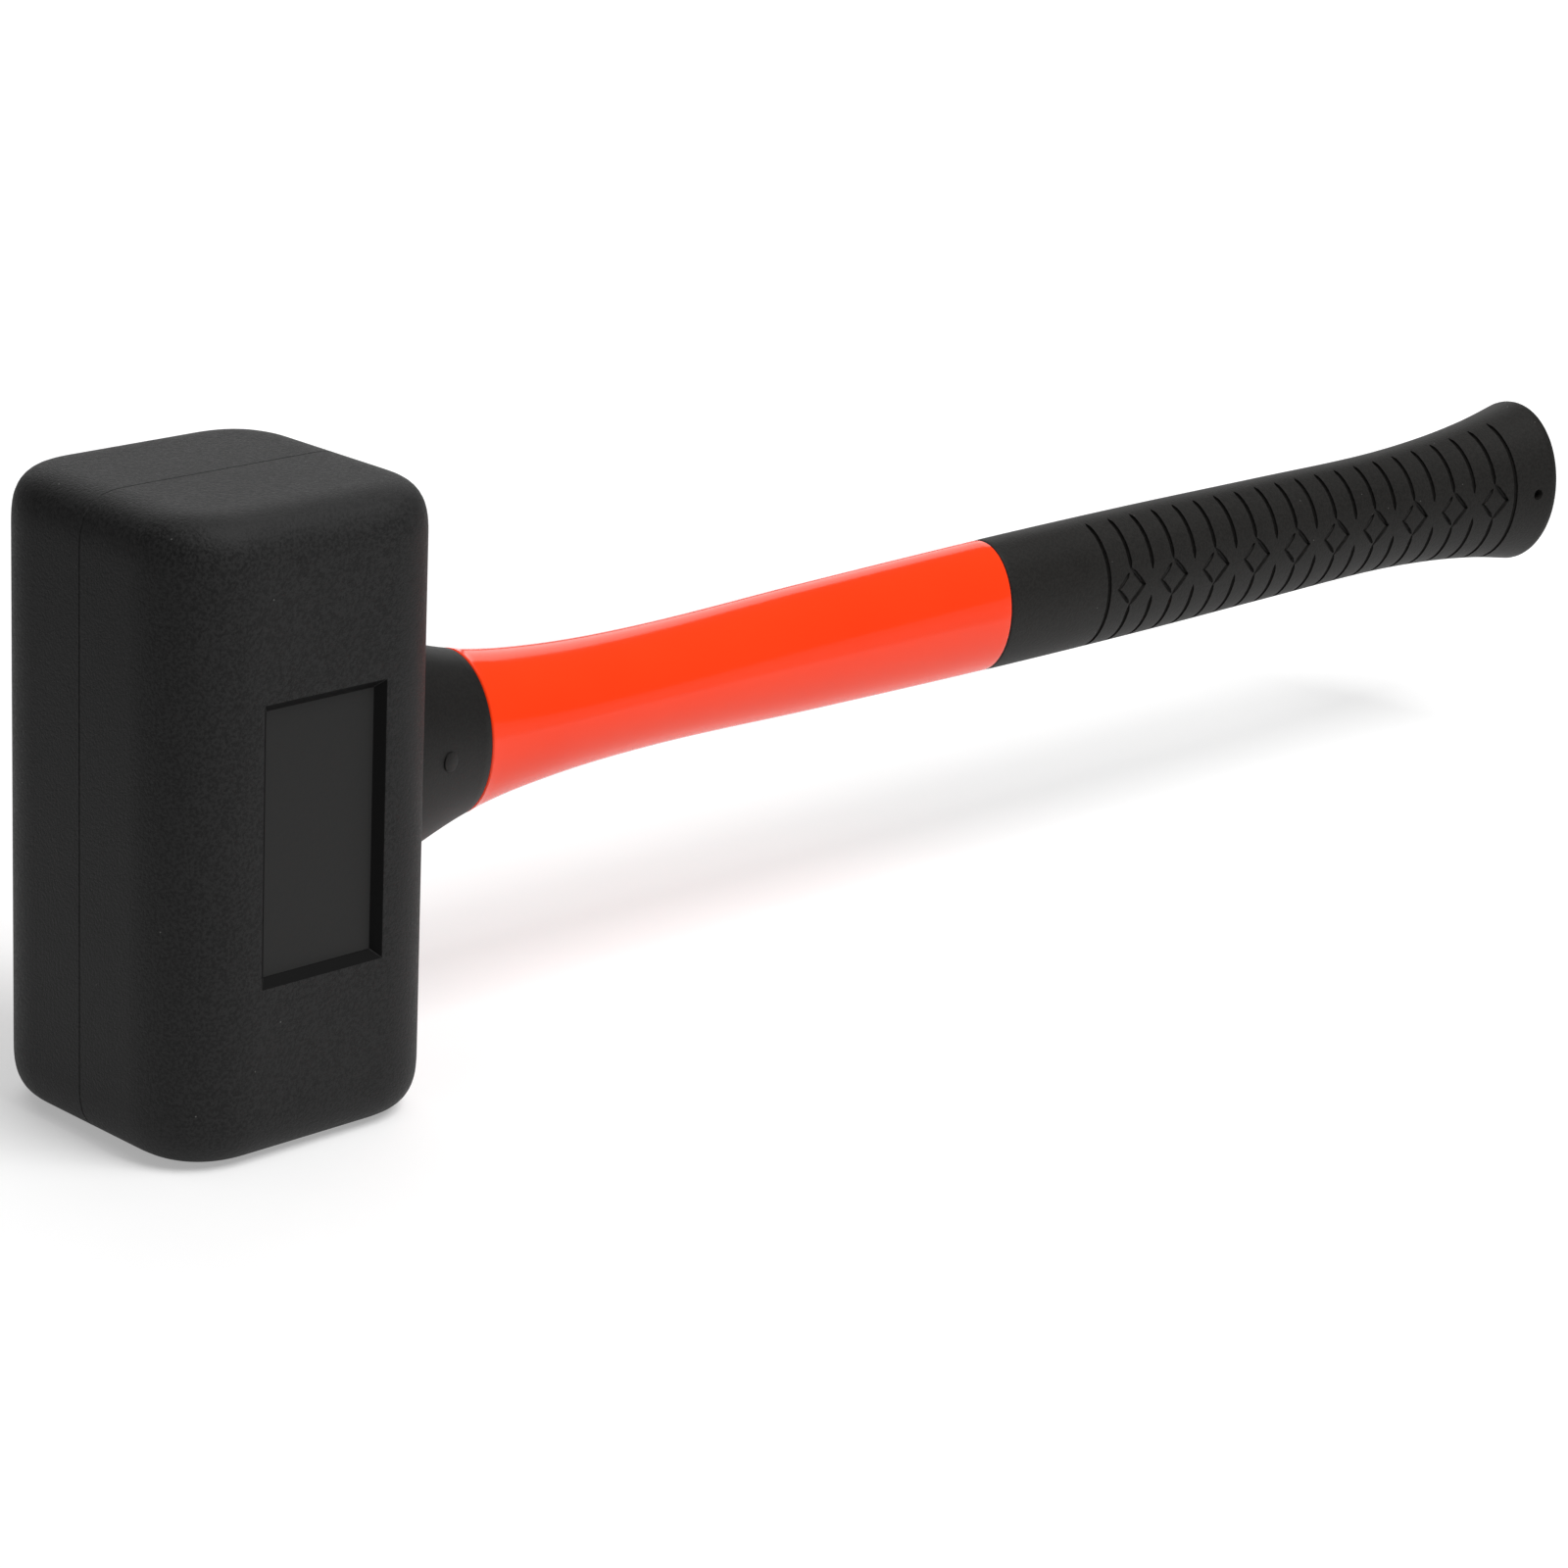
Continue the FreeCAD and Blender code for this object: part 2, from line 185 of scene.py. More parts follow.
def cells(nodes, place, scale):
    """Distance from the nearest of many scattered points."""
    return nodes.node("ShaderNodeTexVoronoi", {"Vector": place, "Scale": scale}, feature="F1")


def relief(nodes, height, distance, strength=1.0, under=None):
    """A bump of this height map; distance is how deep 0 to 1 stands for."""
    inputs = {"Height": height, "Distance": distance, "Strength": strength}
    if under is not None:
        inputs["Normal"] = under
    return nodes.node("ShaderNodeBump", inputs)


low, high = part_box("head_moulding")
HEAD_MIDDLE = (low + high) / 2
HEAD_SIZE = high - low
MIDDLE = HEAD_MIDDLE.z
AXIS = sum(corner.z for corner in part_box("handle_rod")) / 2
# Moulded edges turn in gradually, so a bevel reaches further than a round would and is fuller.
LONG_EDGE_REACH = 19.5 * MM
LONG_EDGE_FULLNESS = 0.537
RIM_REACH = 13.0 * MM
RIM_FULLNESS = 0.63
RECESS_HALF = (15.95 * MM, 30.5 * MM)
RECESS_FLOOR_HALF = (14.15 * MM, 28.7 * MM)
RECESS_DEPTH = 2.0 * MM
RECESS_CREASE = 0.12 * MM
SEAM_HALF_WIDTH = 0.24 * MM
SEAM_DEPTH = 0.28 * MM
TINY = 0.01 * MM
# A block's upright edges are the only ones longer than this.
LONG_EDGE = 100.0 * MM


def upright(a, b):
    return abs(a.z - b.z) > LONG_EDGE


bpy.ops.object.select_all(action="DESELECT")
bpy.ops.mesh.primitive_cube_add(size=1, location=HEAD_MIDDLE, scale=HEAD_SIZE)
head = start("head_block")
bpy.ops.object.mode_set(mode="EDIT")
choose("EDGE", upright)
bpy.ops.mesh.bevel(
    offset=LONG_EDGE_REACH, segments=20, profile=LONG_EDGE_FULLNESS, affect="EDGES"
)
for rim in (low.z, high.z):
    choose("EDGE", lambda a, b: abs(a.z - rim) < TINY and abs(b.z - rim) < TINY)
    bpy.ops.mesh.bevel(offset=RIM_REACH, segments=18, profile=RIM_FULLNESS, affect="EDGES")

# The label recess on each cheek: cut out its outline, push it in and draw in its floor.
for side, cheek in ((-1, low.y), (1, high.y)):
    def on_cheek(middle, normal):
        return abs(middle.y - cheek) < TINY and abs(normal.y) > 0.99

    for edge in (-RECESS_HALF[0], RECESS_HALF[0]):
        choose("FACE", on_cheek)
        bpy.ops.mesh.bisect(plane_co=(edge, 0, MIDDLE), plane_no=(1, 0, 0))
    for edge in (-RECESS_HALF[1], RECESS_HALF[1]):
        choose("FACE", on_cheek)
        bpy.ops.mesh.bisect(plane_co=(0, 0, MIDDLE + edge), plane_no=(0, 0, 1))
    centre = Vector((0, cheek, MIDDLE))
    choose("FACE", lambda spot, normal: on_cheek(spot, normal) and (spot - centre).length < MM)
    bpy.ops.mesh.extrude_region_move(TRANSFORM_OT_translate={"value": (0, -side * RECESS_DEPTH, 0)})
    bpy.ops.transform.resize(
        value=(RECESS_FLOOR_HALF[0] / RECESS_HALF[0], 1, RECESS_FLOOR_HALF[1] / RECESS_HALF[1]),
        center_override=(0, 0, MIDDLE),
    )


def in_recess(point, slack=0.02 * MM):
    return (
        abs(point.x) < RECESS_HALF[0] + slack
        and abs(point.z - MIDDLE) < RECESS_HALF[1] + slack
        and abs(point.y) > HEAD_SIZE.y / 2 - RECESS_DEPTH - slack
    )


# The recess's rim, its floor and the mitres between its walls are crisp, but not knife sharp.
choose("EDGE", lambda a, b: in_recess(a) and in_recess(b) and a.y * b.y > 0)
bpy.ops.mesh.bevel(offset=RECESS_CREASE, segments=2, affect="EDGES")

# The seam runs right round the block in the plane of the handle.
for across in (-SEAM_HALF_WIDTH, 0.0, SEAM_HALF_WIDTH):
    bpy.ops.mesh.select_all(action="SELECT")
    bpy.ops.mesh.bisect(plane_co=(0, across, 0), plane_no=(0, 1, 0))
choose("VERT", lambda point: abs(point.y) < TINY)
bpy.ops.transform.shrink_fatten(value=-SEAM_DEPTH)
bpy.ops.object.mode_set(mode="OBJECT")

# The hollow that the steel lump and the handle's neck fill. The rubber runs through the lump's
# two cross holes, which keys it on.
core_low, core_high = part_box("steel_core")
CORE_CHAMFER = 6.0 * MM
KEY_RADIUS = 6.0 * MM
KEY_OFFSET = 36.0 * MM
NECK_HALF = (15.0 * MM, 10.5 * MM)
bpy.ops.object.select_all(action="DESELECT")
bpy.ops.mesh.primitive_cube_add(size=1, location=HEAD_MIDDLE, scale=core_high - core_low)
hollow = start("lump_hollow")
bpy.ops.object.mode_set(mode="EDIT")
choose("EDGE", upright)
bpy.ops.mesh.bevel(offset=CORE_CHAMFER, segments=1, affect="EDGES")
for end in (core_low.z, core_high.z):
    choose("EDGE", lambda a, b: abs(a.z - end) < TINY and abs(b.z - end) < TINY)
    bpy.ops.mesh.bevel(offset=CORE_CHAMFER / 2, segments=1, affect="EDGES")
bpy.ops.object.mode_set(mode="OBJECT")
for rise in (-KEY_OFFSET, KEY_OFFSET):
    bpy.ops.object.select_all(action="DESELECT")
    bpy.ops.mesh.primitive_cylinder_add(
        vertices=48,
        radius=KEY_RADIUS,
        depth=HEAD_SIZE.y,
        location=(0, 0, MIDDLE + rise),
        rotation=(math.pi / 2, 0, 0),
    )
    carve(hollow, start("key"))
bpy.ops.object.select_all(action="DESELECT")
bpy.ops.mesh.primitive_cylinder_add(
    vertices=96,
    radius=1,
    depth=1,
    location=(core_high.x + HEAD_SIZE.x / 2, 0, AXIS),
    rotation=(0, math.pi / 2, 0),
)
neck = start("neck_hollow")
bpy.ops.object.mode_set(mode="EDIT")
bpy.ops.mesh.select_all(action="SELECT")
bpy.ops.transform.resize(
    value=(HEAD_SIZE.x + 2 * MM, NECK_HALF[1], NECK_HALF[0]),
    center_override=(core_high.x + HEAD_SIZE.x / 2, 0, AXIS),
)
bpy.ops.object.mode_set(mode="OBJECT")
carve(hollow, neck, "UNION")
carve(head, hollow)

alone(head)
bpy.ops.object.shade_smooth_by_angle(angle=math.radians(35))
finish_with(head, "WEIGHTED_NORMAL", keep_sharp=True, weight=80)

# The mould was blasted all over except in the recess, whose floor and walls came out smoother.
# The walls' darker, less shiny finish is painted shade, not the rubber's own colour.
rubber, nodes, place = new_finish("head_rubber", Specular_IOR_Level=0.23)
grain = speckle(nodes, place, 1400.0, 3.0, 0.7)
patches = speckle(nodes, place, 26.0, 3.0, 0.55)
dust = 1 - cells(nodes, place, 150.0).between(0.015, 0.03)
bloom = grain.between(0.38, 0.62) * 0.75 + patches * 0.25
black = bloom.tint((0.0005, 0.0005, 0.0005), (0.018, 0.018, 0.018))
lay_on(
    rubber,
    nodes,
    Base_Color=(dust * 0.3).tint(black, (0.35, 0.35, 0.34)),
    Roughness=0.46 + patches * 0.08 + grain.between(0.3, 0.7) * 0.2,
    Normal=relief(nodes, grain, 0.24 * MM, 1.0),
)
smooth, nodes, place = new_finish("recess_floor", Specular_IOR_Level=0.24)
grain = speckle(nodes, place, 1150.0, 3.0, 0.6)
patches = speckle(nodes, place, 40.0, 2.0)
lay_on(
    smooth,
    nodes,
    Base_Color=patches.tint((0.0075, 0.0075, 0.0073), (0.0105, 0.0105, 0.0102)),
    Roughness=0.44 + patches * 0.1,
    Normal=relief(nodes, grain, 0.05 * MM, 0.6),
)
# Painted shade: the recess walls get a darker, less shiny copy of the rubber, standing in for the shade in
# the recess.
shade, nodes, place = new_finish("recess_wall_painted_shade", Specular_IOR_Level=0.08)
grain = speckle(nodes, place, 1150.0, 3.0, 0.6)
lay_on(
    shade,
    nodes,
    Base_Color=grain.tint((0.002, 0.002, 0.002), (0.004, 0.004, 0.004)),
    Roughness=0.6 + grain * 0.1,
    Normal=relief(nodes, grain, 0.05 * MM, 0.6),
)
for finish in (rubber, smooth, shade):
    head.data.materials.append(finish)
for face in head.data.polygons:
    sunk = HEAD_SIZE.y / 2 - abs(face.center.y)
    if in_recess(face.center) and sunk > TINY:
        if abs(sunk - RECESS_DEPTH) < TINY:
            face.material_index = 1
        # The recess walls take the painted-shade finish.
        elif min(abs(face.normal.x), abs(face.normal.z)) < 0.1:
            face.material_index = 2
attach(head, "root")
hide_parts("head_moulding")

# ---------------------------------------------------------------------------------------------
# Collar: a black tapered boot moulded over the handle's neck, hard against the head. A low round
# disc on each side is what the mould left.
# ---------------------------------------------------------------------------------------------
# The handle from outside: place along it, half height and half width of its oval.
HANDLE_OVALS = [
    (35.75, 28.0, 18.9),
    (64.0, 18.8, 14.3),
    (90.0, 15.1, 13.0),
    (123.0, 14.0, 12.0),
    (173.0, 15.2, 11.4),
    (232.0, 16.2, 11.1),
    (285.0, 16.4, 11.1),
    (336.0, 16.0, 11.0),
    (378.0, 15.7, 11.1),
    (403.0, 16.8, 12.0),
    (424.0, 19.0, 13.8),
    (443.0, 22.3, 16.5),
]


def oval_at(x):
    """The handle's half height and half width at a place along it, all in millimetres."""
    n = max(0, min(len(HANDLE_OVALS) - 2, sum(1 for oval in HANDLE_OVALS[1:] if oval[0] <= x)))
    x0, x1 = HANDLE_OVALS[n][0], HANDLE_OVALS[n + 1][0]

    def slope(at, axis):
        before, after = max(0, at - 1), min(len(HANDLE_OVALS) - 1, at + 1)
        rise = HANDLE_OVALS[after][axis] - HANDLE_OVALS[before][axis]
        return rise / (HANDLE_OVALS[after][0] - HANDLE_OVALS[before][0]) * (x1 - x0)

    t = (x - x0) / (x1 - x0)
    halves = []
    for axis in (1, 2):
        p0, p1 = HANDLE_OVALS[n][axis], HANDLE_OVALS[n + 1][axis]
        m0, m1 = slope(n, axis), slope(n + 1, axis)
        halves.append(
            (2 * t**3 - 3 * t**2 + 1) * p0
            + (t**3 - 2 * t**2 + t) * m0
            + (3 * t**2 - 2 * t**3) * p1
            + (t**3 - t**2) * m1
        )
    return halves


def rings_along(first, last, step):
    """Ovals of the handle's outside from one place to another, in millimetres."""
    count = max(1, round(abs(last - first) / step))
    places = [first + (last - first) * n / count for n in range(count + 1)]
    return [(x, *oval_at(x)) for x in places]


ROUND_STEPS = 5


def rounded_edge(x, radius, into):
    """Ovals that round off the outside's edge at x, from its end face outwards; into is +1 or -1."""
    made = []
    for step in range(ROUND_STEPS):
        angle = math.pi / 2 * step / ROUND_STEPS
        along = radius * (1 - math.cos(angle))
        height, width = oval_at(x)
        drop = radius * (1 - math.sin(angle))
        made.append((x + into * along, height - drop, width - drop))
    return made


def pull_tube(name, rings, sides=96, closed=False):
    """Pulls a tube from an oval ring through the next ones; a closed one ends where it began."""
    bpy.ops.object.select_all(action="DESELECT")
    x, height, width = rings[0]
    bpy.ops.mesh.primitive_circle_add(
        vertices=sides,
        radius=1,
        fill_type="NOTHING" if closed else "NGON",
        location=(x * MM, 0, AXIS),
        rotation=(0, math.pi / 2, 0),
    )
    tube = start(name)
    bpy.ops.object.mode_set(mode="EDIT")
    bpy.ops.mesh.select_all(action="SELECT")
    bpy.ops.transform.resize(value=(1, width * MM, height * MM), center_override=(x * MM, 0, AXIS))
    for before, after in zip(rings, rings[1:]):
        bpy.ops.mesh.extrude_region_move(
            TRANSFORM_OT_translate={"value": ((after[0] - before[0]) * MM, 0, 0)}
        )
        bpy.ops.transform.resize(
            value=(1, after[2] / before[2], after[1] / before[1]), center_override=(after[0] * MM, 0, AXIS)
        )
    bpy.ops.mesh.select_all(action="SELECT")
    bpy.ops.mesh.remove_doubles(threshold=1e-6)
    bpy.ops.mesh.normals_make_consistent(inside=False)
    bpy.ops.object.mode_set(mode="OBJECT")
    return tube


COLLAR_ENDS = [corner.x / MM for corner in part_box("neck_collar")]
NECK = [half / MM for half in NECK_HALF]
COLLAR_ROUND = 0.5
collar_rings = [(COLLAR_ENDS[0], *NECK)]
collar_rings += rings_along(COLLAR_ENDS[0], COLLAR_ENDS[1] - COLLAR_ROUND, 2.0)
collar_rings += rounded_edge(COLLAR_ENDS[1], COLLAR_ROUND, -1)[::-1]
collar_rings += [(COLLAR_ENDS[1], *NECK), (COLLAR_ENDS[0], *NECK)]
collar = pull_tube("collar", collar_rings, closed=True)

# Each round mark stands square on the collar's slope.
MARK_PLACE = 50.1
MARK_RADIUS = 2.2
MARK_RISE = 0.3
MARK_ROUND = 0.12
before, at, after = (oval_at(MARK_PLACE + step)[1] for step in (-1, 0, 1))
slope = math.atan2(before - after, 2)
for side in (-1, 1):
    bpy.ops.object.select_all(action="DESELECT")
    bpy.ops.mesh.primitive_cylinder_add(
        vertices=48,
        radius=MARK_RADIUS * MM,
        depth=2 * MARK_RISE * MM,
        location=(MARK_PLACE * MM, side * at * MM, AXIS),
        rotation=(math.pi / 2, 0, -side * slope),
    )
    mark = start("collar_mark")
    bpy.ops.object.mode_set(mode="EDIT")
    choose("FACE", lambda middle, normal: side * normal.y > 0.9)
    bpy.ops.mesh.bevel(offset=MARK_ROUND * MM, segments=2, affect="EDGES")
    bpy.ops.object.mode_set(mode="OBJECT")
    carve(collar, mark, "UNION")
alone(collar)
bpy.ops.object.shade_smooth_by_angle(angle=math.radians(40))

collar_rubber, nodes, place = new_finish("collar_rubber", Specular_IOR_Level=0.2)
grain = speckle(nodes, place, 1500.0, 3.0, 0.65)
patches = speckle(nodes, place, 45.0, 2.0)
bloom = grain.between(0.38, 0.62) * 0.5 + patches * 0.5
lay_on(
    collar_rubber,
    nodes,
    Base_Color=bloom.tint((0.0045, 0.0043, 0.0040), (0.0110, 0.0104, 0.0098)),
    Roughness=0.42 + patches * 0.12 + grain * 0.06,
    Normal=relief(nodes, grain, 0.06 * MM, 0.7),
)
collar.data.materials.append(collar_rubber)
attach(collar, "root")
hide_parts("neck_collar")

# ---------------------------------------------------------------------------------------------
# Jacket: hard orange plastic moulded on the glass-fibre rod, smooth and glossy. A thinner neck
# of it runs in under the collar, and a thinner tail carries the grip.
# ---------------------------------------------------------------------------------------------
JACKET_ENDS = [corner.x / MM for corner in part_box("handle_jacket")]
GRIP_ENDS = [corner.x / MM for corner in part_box("grip_sleeve")]
# Half height and half width of the rod inside, and of the tail under the grip.
ROD = (11.0, 6.0)
TAIL = (13.4, 8.2)
HEAD_END_ROUND = 0.7
GRIP_END_ROUND = 0.6
ROD_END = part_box("handle_rod")[1].x / MM
jacket_rings = [(ROD_END, *ROD), (JACKET_ENDS[0], *ROD)]
jacket_rings += [(JACKET_ENDS[0], *NECK), (COLLAR_ENDS[1], *NECK)]
jacket_rings += rounded_edge(COLLAR_ENDS[1], HEAD_END_ROUND, 1)
jacket_rings += rings_along(COLLAR_ENDS[1] + HEAD_END_ROUND, GRIP_ENDS[0] - GRIP_END_ROUND, 2.0)
jacket_rings += rounded_edge(GRIP_ENDS[0], GRIP_END_ROUND, -1)[::-1]
jacket_rings += [(GRIP_ENDS[0], *TAIL), (JACKET_ENDS[1], *TAIL)]
jacket = pull_tube("jacket", jacket_rings)
alone(jacket)
bpy.ops.object.shade_smooth_by_angle(angle=math.radians(40))

orange, nodes, place = new_finish("orange_jacket", Specular_IOR_Level=0.32)
patches = speckle(nodes, place, 30.0, 2.0)
ripple = speckle(nodes, place, 160.0, 2.0)
lay_on(
    orange,
    nodes,
    Base_Color=patches.tint((0.92, 0.040, 0.004), (0.96, 0.048, 0.006)),
    Roughness=0.11 + patches * 0.04,
    Normal=relief(nodes, ripple, 0.03 * MM, 0.4),
)
jacket.data.materials.append(orange)
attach(jacket, "root")
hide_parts("handle_jacket")

# ---------------------------------------------------------------------------------------------
# Grip: black soft plastic moulded over the tail, flared at the butt. Each side has a row of
# diamonds with fine ribs above and below, all moulded in as grooves.
# ---------------------------------------------------------------------------------------------
GRIP_ROUND = 0.5
BUTT_RADIUS = 4.0
BUTT_SWELL = 0.4
BUTT_STEPS = 8
butt_height, butt_width = oval_at(GRIP_ENDS[1] - BUTT_RADIUS)
grip_rings = [(JACKET_ENDS[1], *TAIL), (GRIP_ENDS[0], *TAIL)]
grip_rings += rounded_edge(GRIP_ENDS[0], GRIP_ROUND, 1)
grip_rings += rings_along(GRIP_ENDS[0] + GRIP_ROUND, GRIP_ENDS[1] - BUTT_RADIUS, 1.4)
for step in range(1, BUTT_STEPS + 1):
    angle = math.pi / 2 * step / BUTT_STEPS
    drop = BUTT_RADIUS * (1 - math.cos(angle))
    along = GRIP_ENDS[1] - BUTT_RADIUS + BUTT_RADIUS * math.sin(angle)
    swell = BUTT_SWELL * math.sin(angle)
    grip_rings.append((along, butt_height + swell - drop, butt_width + swell - drop))
flat = grip_rings[-1]
grip_rings += [(flat[0], flat[1] * share, flat[2] * share) for share in (0.75, 0.5, 0.25, 0.02)]
grip = pull_tube("grip", grip_rings, sides=128)

FIRST_RING = 266.9
LAST_RING = 425.6
FIRST_DIAMOND = 275.0
DIAMOND_PITCH = 15.86
DIAMONDS = 10
HALF_DIAMOND = (4.7, 4.4)
RIB_GAP = 3.3
STRIP_ANGLE = math.radians(75)
# The grooves' cutter: its radii, how far its centre line lies under the surface, how far the
# grooves lean at the top, and how much finer their ends are.
GROOVE = 0.82
FINE_GROOVE = 0.7
SINK = 0.42
LEAN = 1.55
END_FINENESS = 0.55
# The wide stroke of a diamond runs past its tips, and the fine one starts short of the upper tip.
TIP_LAP = 0.3
FINE_START = (0.6, 0.5)


def on_grip(x, rise, side):
    """A point just under the grip's side surface, from its place and its height over the axis."""
    height, width = oval_at(x)
    reach = width * math.sqrt(max(0.0, 1 - (rise / height) ** 2))
    inward = Vector((0, reach / width**2, rise / height**2)).normalized() * SINK
    return Vector((x, side * (reach - inward.y), rise - inward.z))


def groove_line(curve, points, radius):
    """Adds one groove's centre line to the cutter; both its ends are drawn fine."""
    line = curve.splines.new("POLY")
    line.points.add(len(points) - 1)
    for n, (spot, point) in enumerate(zip(line.points, points)):
        spot.co = (point.x * MM, point.y * MM, point.z * MM + AXIS, 1)
        spot.radius = radius * (END_FINENESS if n in (0, len(points) - 1) else 1)


def rib(curve, x, side, start_angle, end_angle):
    """A groove round the grip between two angles from its side, leaning to the head at the top."""
    height = oval_at(x)[0]
    steps = max(4, round(abs(end_angle - start_angle) / math.radians(7)))
    points = []
    for n in range(steps + 1):
        angle = start_angle + (end_angle - start_angle) * n / steps
        lean = LEAN * max(0.0, math.sin(angle)) ** 2
        points.append(on_grip(x - lean, height * math.sin(angle), side))
    groove_line(curve, points, GROOVE)


def stroke(curve, corners, side, radius):
    """A groove through corners given as place and rise, following the grip's side."""
    points = []
    for (x0, z0), (x1, z1) in zip(corners, corners[1:]):
        points += [on_grip(x0 + (x1 - x0) * n / 4, z0 + (z1 - z0) * n / 4, side) for n in range(4)]
    points.append(on_grip(*corners[-1], side))
    groove_line(curve, points, radius)


cutter_line = bpy.data.curves.new("groove_cutter", "CURVE")
cutter_line.dimensions = "3D"
cutter_line.bevel_depth = MM
cutter_line.bevel_resolution = 2
cutter_line.use_fill_caps = True
for side in (-1, 1):
    for ring in (FIRST_RING, LAST_RING):
        rib(cutter_line, ring, side, STRIP_ANGLE, -STRIP_ANGLE)
    for n in range(DIAMONDS):
        middle = FIRST_DIAMOND + n * DIAMOND_PITCH
        left, right = middle - HALF_DIAMOND[0], middle + HALF_DIAMOND[0]
        tip = HALF_DIAMOND[1]
        height = oval_at(middle)[0]
        tip_angle = math.asin(tip / height)
        rib(cutter_line, middle, side, STRIP_ANGLE, tip_angle)
        rib(cutter_line, middle, side, -tip_angle, -STRIP_ANGLE)
        wide = [(middle, tip + TIP_LAP), (right, 0.0), (middle, -tip - TIP_LAP)]
        stroke(cutter_line, wide, side, GROOVE)
        fine = [(middle - FINE_START[0], tip - FINE_START[1]), (left, 0.0), (middle, -tip)]
        stroke(cutter_line, fine, side, FINE_GROOVE)
        if n < DIAMONDS - 1:
            between = middle + DIAMOND_PITCH / 2
            gap_angle = math.asin(RIB_GAP / oval_at(between)[0])
            rib(cutter_line, between, side, STRIP_ANGLE, gap_angle)
            rib(cutter_line, between, side, -gap_angle, -STRIP_ANGLE)
cutter = bpy.data.objects.new("groove_cutter", cutter_line)
bpy.context.collection.objects.link(cutter)
alone(cutter)
bpy.ops.object.convert(target="MESH")
cutter = bpy.context.object

# The pin that held the rod in the mould left a small blind hole on each side of the butt.
PIN_HOLE_PLACE = 434.0
PIN_HOLE_RADIUS = 1.5
PIN_HOLE_FLOOR = 0.6
for side in (-1, 1):
    reach = oval_at(PIN_HOLE_PLACE)[1]
    bpy.ops.object.select_all(action="DESELECT")
    bpy.ops.mesh.primitive_cylinder_add(
        vertices=32,
        radius=PIN_HOLE_RADIUS * MM,
        depth=2 * (reach - TAIL[1] - PIN_HOLE_FLOOR) * MM,
        location=(PIN_HOLE_PLACE * MM, side * reach * MM, AXIS),
        rotation=(math.pi / 2, 0, 0),
    )
    hole = bpy.context.object
    alone(cutter)
    hole.select_set(True)
    bpy.ops.object.join()
carve(grip, cutter)

alone(grip)
bpy.ops.object.shade_smooth_by_angle(angle=math.radians(32))

grip_rubber, nodes, place = new_finish("grip_rubber", Specular_IOR_Level=0.2)
grain = speckle(nodes, place, 1500.0, 3.0, 0.65)
patches = speckle(nodes, place, 40.0, 2.0)
dust = 1 - cells(nodes, place, 190.0).between(0.02, 0.035)
bloom = grain.between(0.38, 0.62) * 0.6 + patches * 0.4
black = bloom.tint((0.0060, 0.0056, 0.0050), (0.0150, 0.0142, 0.0130))
lay_on(
    grip_rubber,
    nodes,
    Base_Color=(dust * 0.25).tint(black, (0.4, 0.4, 0.38)),
    Roughness=0.46 + patches * 0.1 + grain * 0.12,
    Normal=relief(nodes, grain, 0.12 * MM, 0.9),
)
grip.data.materials.append(grip_rubber)
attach(grip, "root")
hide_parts("grip_sleeve")

# ---------------------------------------------------------------------------------------------
# Inside the head: the forged steel lump, its cross pin, the pale glass-fibre rod and the amber
# resin that bonds the rod in the eye. None of it shows on a whole hammer.
# ---------------------------------------------------------------------------------------------
forged, nodes, place = new_finish("forged_steel", Metallic=1.0)
scale_marks = speckle(nodes, place, 420.0, 4.0, 0.65)
rust = speckle(nodes, place, 60.0, 3.0).between(0.55, 0.7)
lay_on(
    forged,
    nodes,
    Base_Color=rust.tint((0.16, 0.155, 0.15), (0.2, 0.11, 0.07)),
    Roughness=0.45 + scale_marks * 0.3,
    Normal=relief(nodes, scale_marks, 0.2 * MM, 0.6),
)
drawn, nodes, place = new_finish("drawn_steel", Metallic=1.0)
lines = speckle(
    nodes, nodes.node("ShaderNodeMapping", {"Vector": place, "Scale": (1.0, 0.05, 1.0)}), 2500.0, 2.0
)
lay_on(
    drawn,
    nodes,
    Base_Color=lines.tint((0.5, 0.51, 0.52), (0.62, 0.63, 0.64)),
    Roughness=0.22 + lines * 0.15,
    Normal=relief(nodes, lines, 0.02 * MM, 0.5),
)
fibre, nodes, place = new_finish("glass_fibre", Specular_IOR_Level=0.5)
strands = speckle(
    nodes, nodes.node("ShaderNodeMapping", {"Vector": place, "Scale": (0.02, 1.0, 1.0)}), 1600.0, 3.0
)
lay_on(
    fibre,
    nodes,
    Base_Color=strands.tint((0.66, 0.62, 0.46), (0.86, 0.84, 0.72)),
    Roughness=0.4 + strands * 0.2,
    Normal=relief(nodes, strands, 0.05 * MM, 0.6),
)
amber, nodes, place = new_finish("amber_resin", Specular_IOR_Level=0.5)
bubbles = cells(nodes, place, 500.0).between(0.1, 0.3)
cloud = speckle(nodes, place, 90.0, 2.0)
lay_on(
    amber,
    nodes,
    Base_Color=cloud.tint((0.42, 0.26, 0.08), (0.6, 0.44, 0.2)),
    Roughness=0.18 + bubbles * 0.1,
    Normal=relief(nodes, bubbles, 0.1 * MM, 0.4),
)
for node, inner in (
    ("steel_core", forged),
    ("dowel_pin", drawn),
    ("handle_rod", fibre),
    ("eye_resin", amber),
):
    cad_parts[node].data.materials.clear()
    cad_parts[node].data.materials.append(inner)

# ---------------------------------------------------------------------------------------------
# The studio: a pale floor with painted light glowing in it and painted shade in its colour, a soft
# light in front of it, a wider one overhead and a long one behind.
# ---------------------------------------------------------------------------------------------
bpy.ops.object.select_all(action="DESELECT")
bpy.ops.mesh.primitive_plane_add(size=14, location=(0, 0, 0))
floor = start("studio_floor")
painted_floor_light, nodes, place = new_finish("floor_painted_light", Specular_IOR_Level=0.2, Emission_Strength=1.0)
fibres = speckle(nodes, place, 60.0, 2.0)


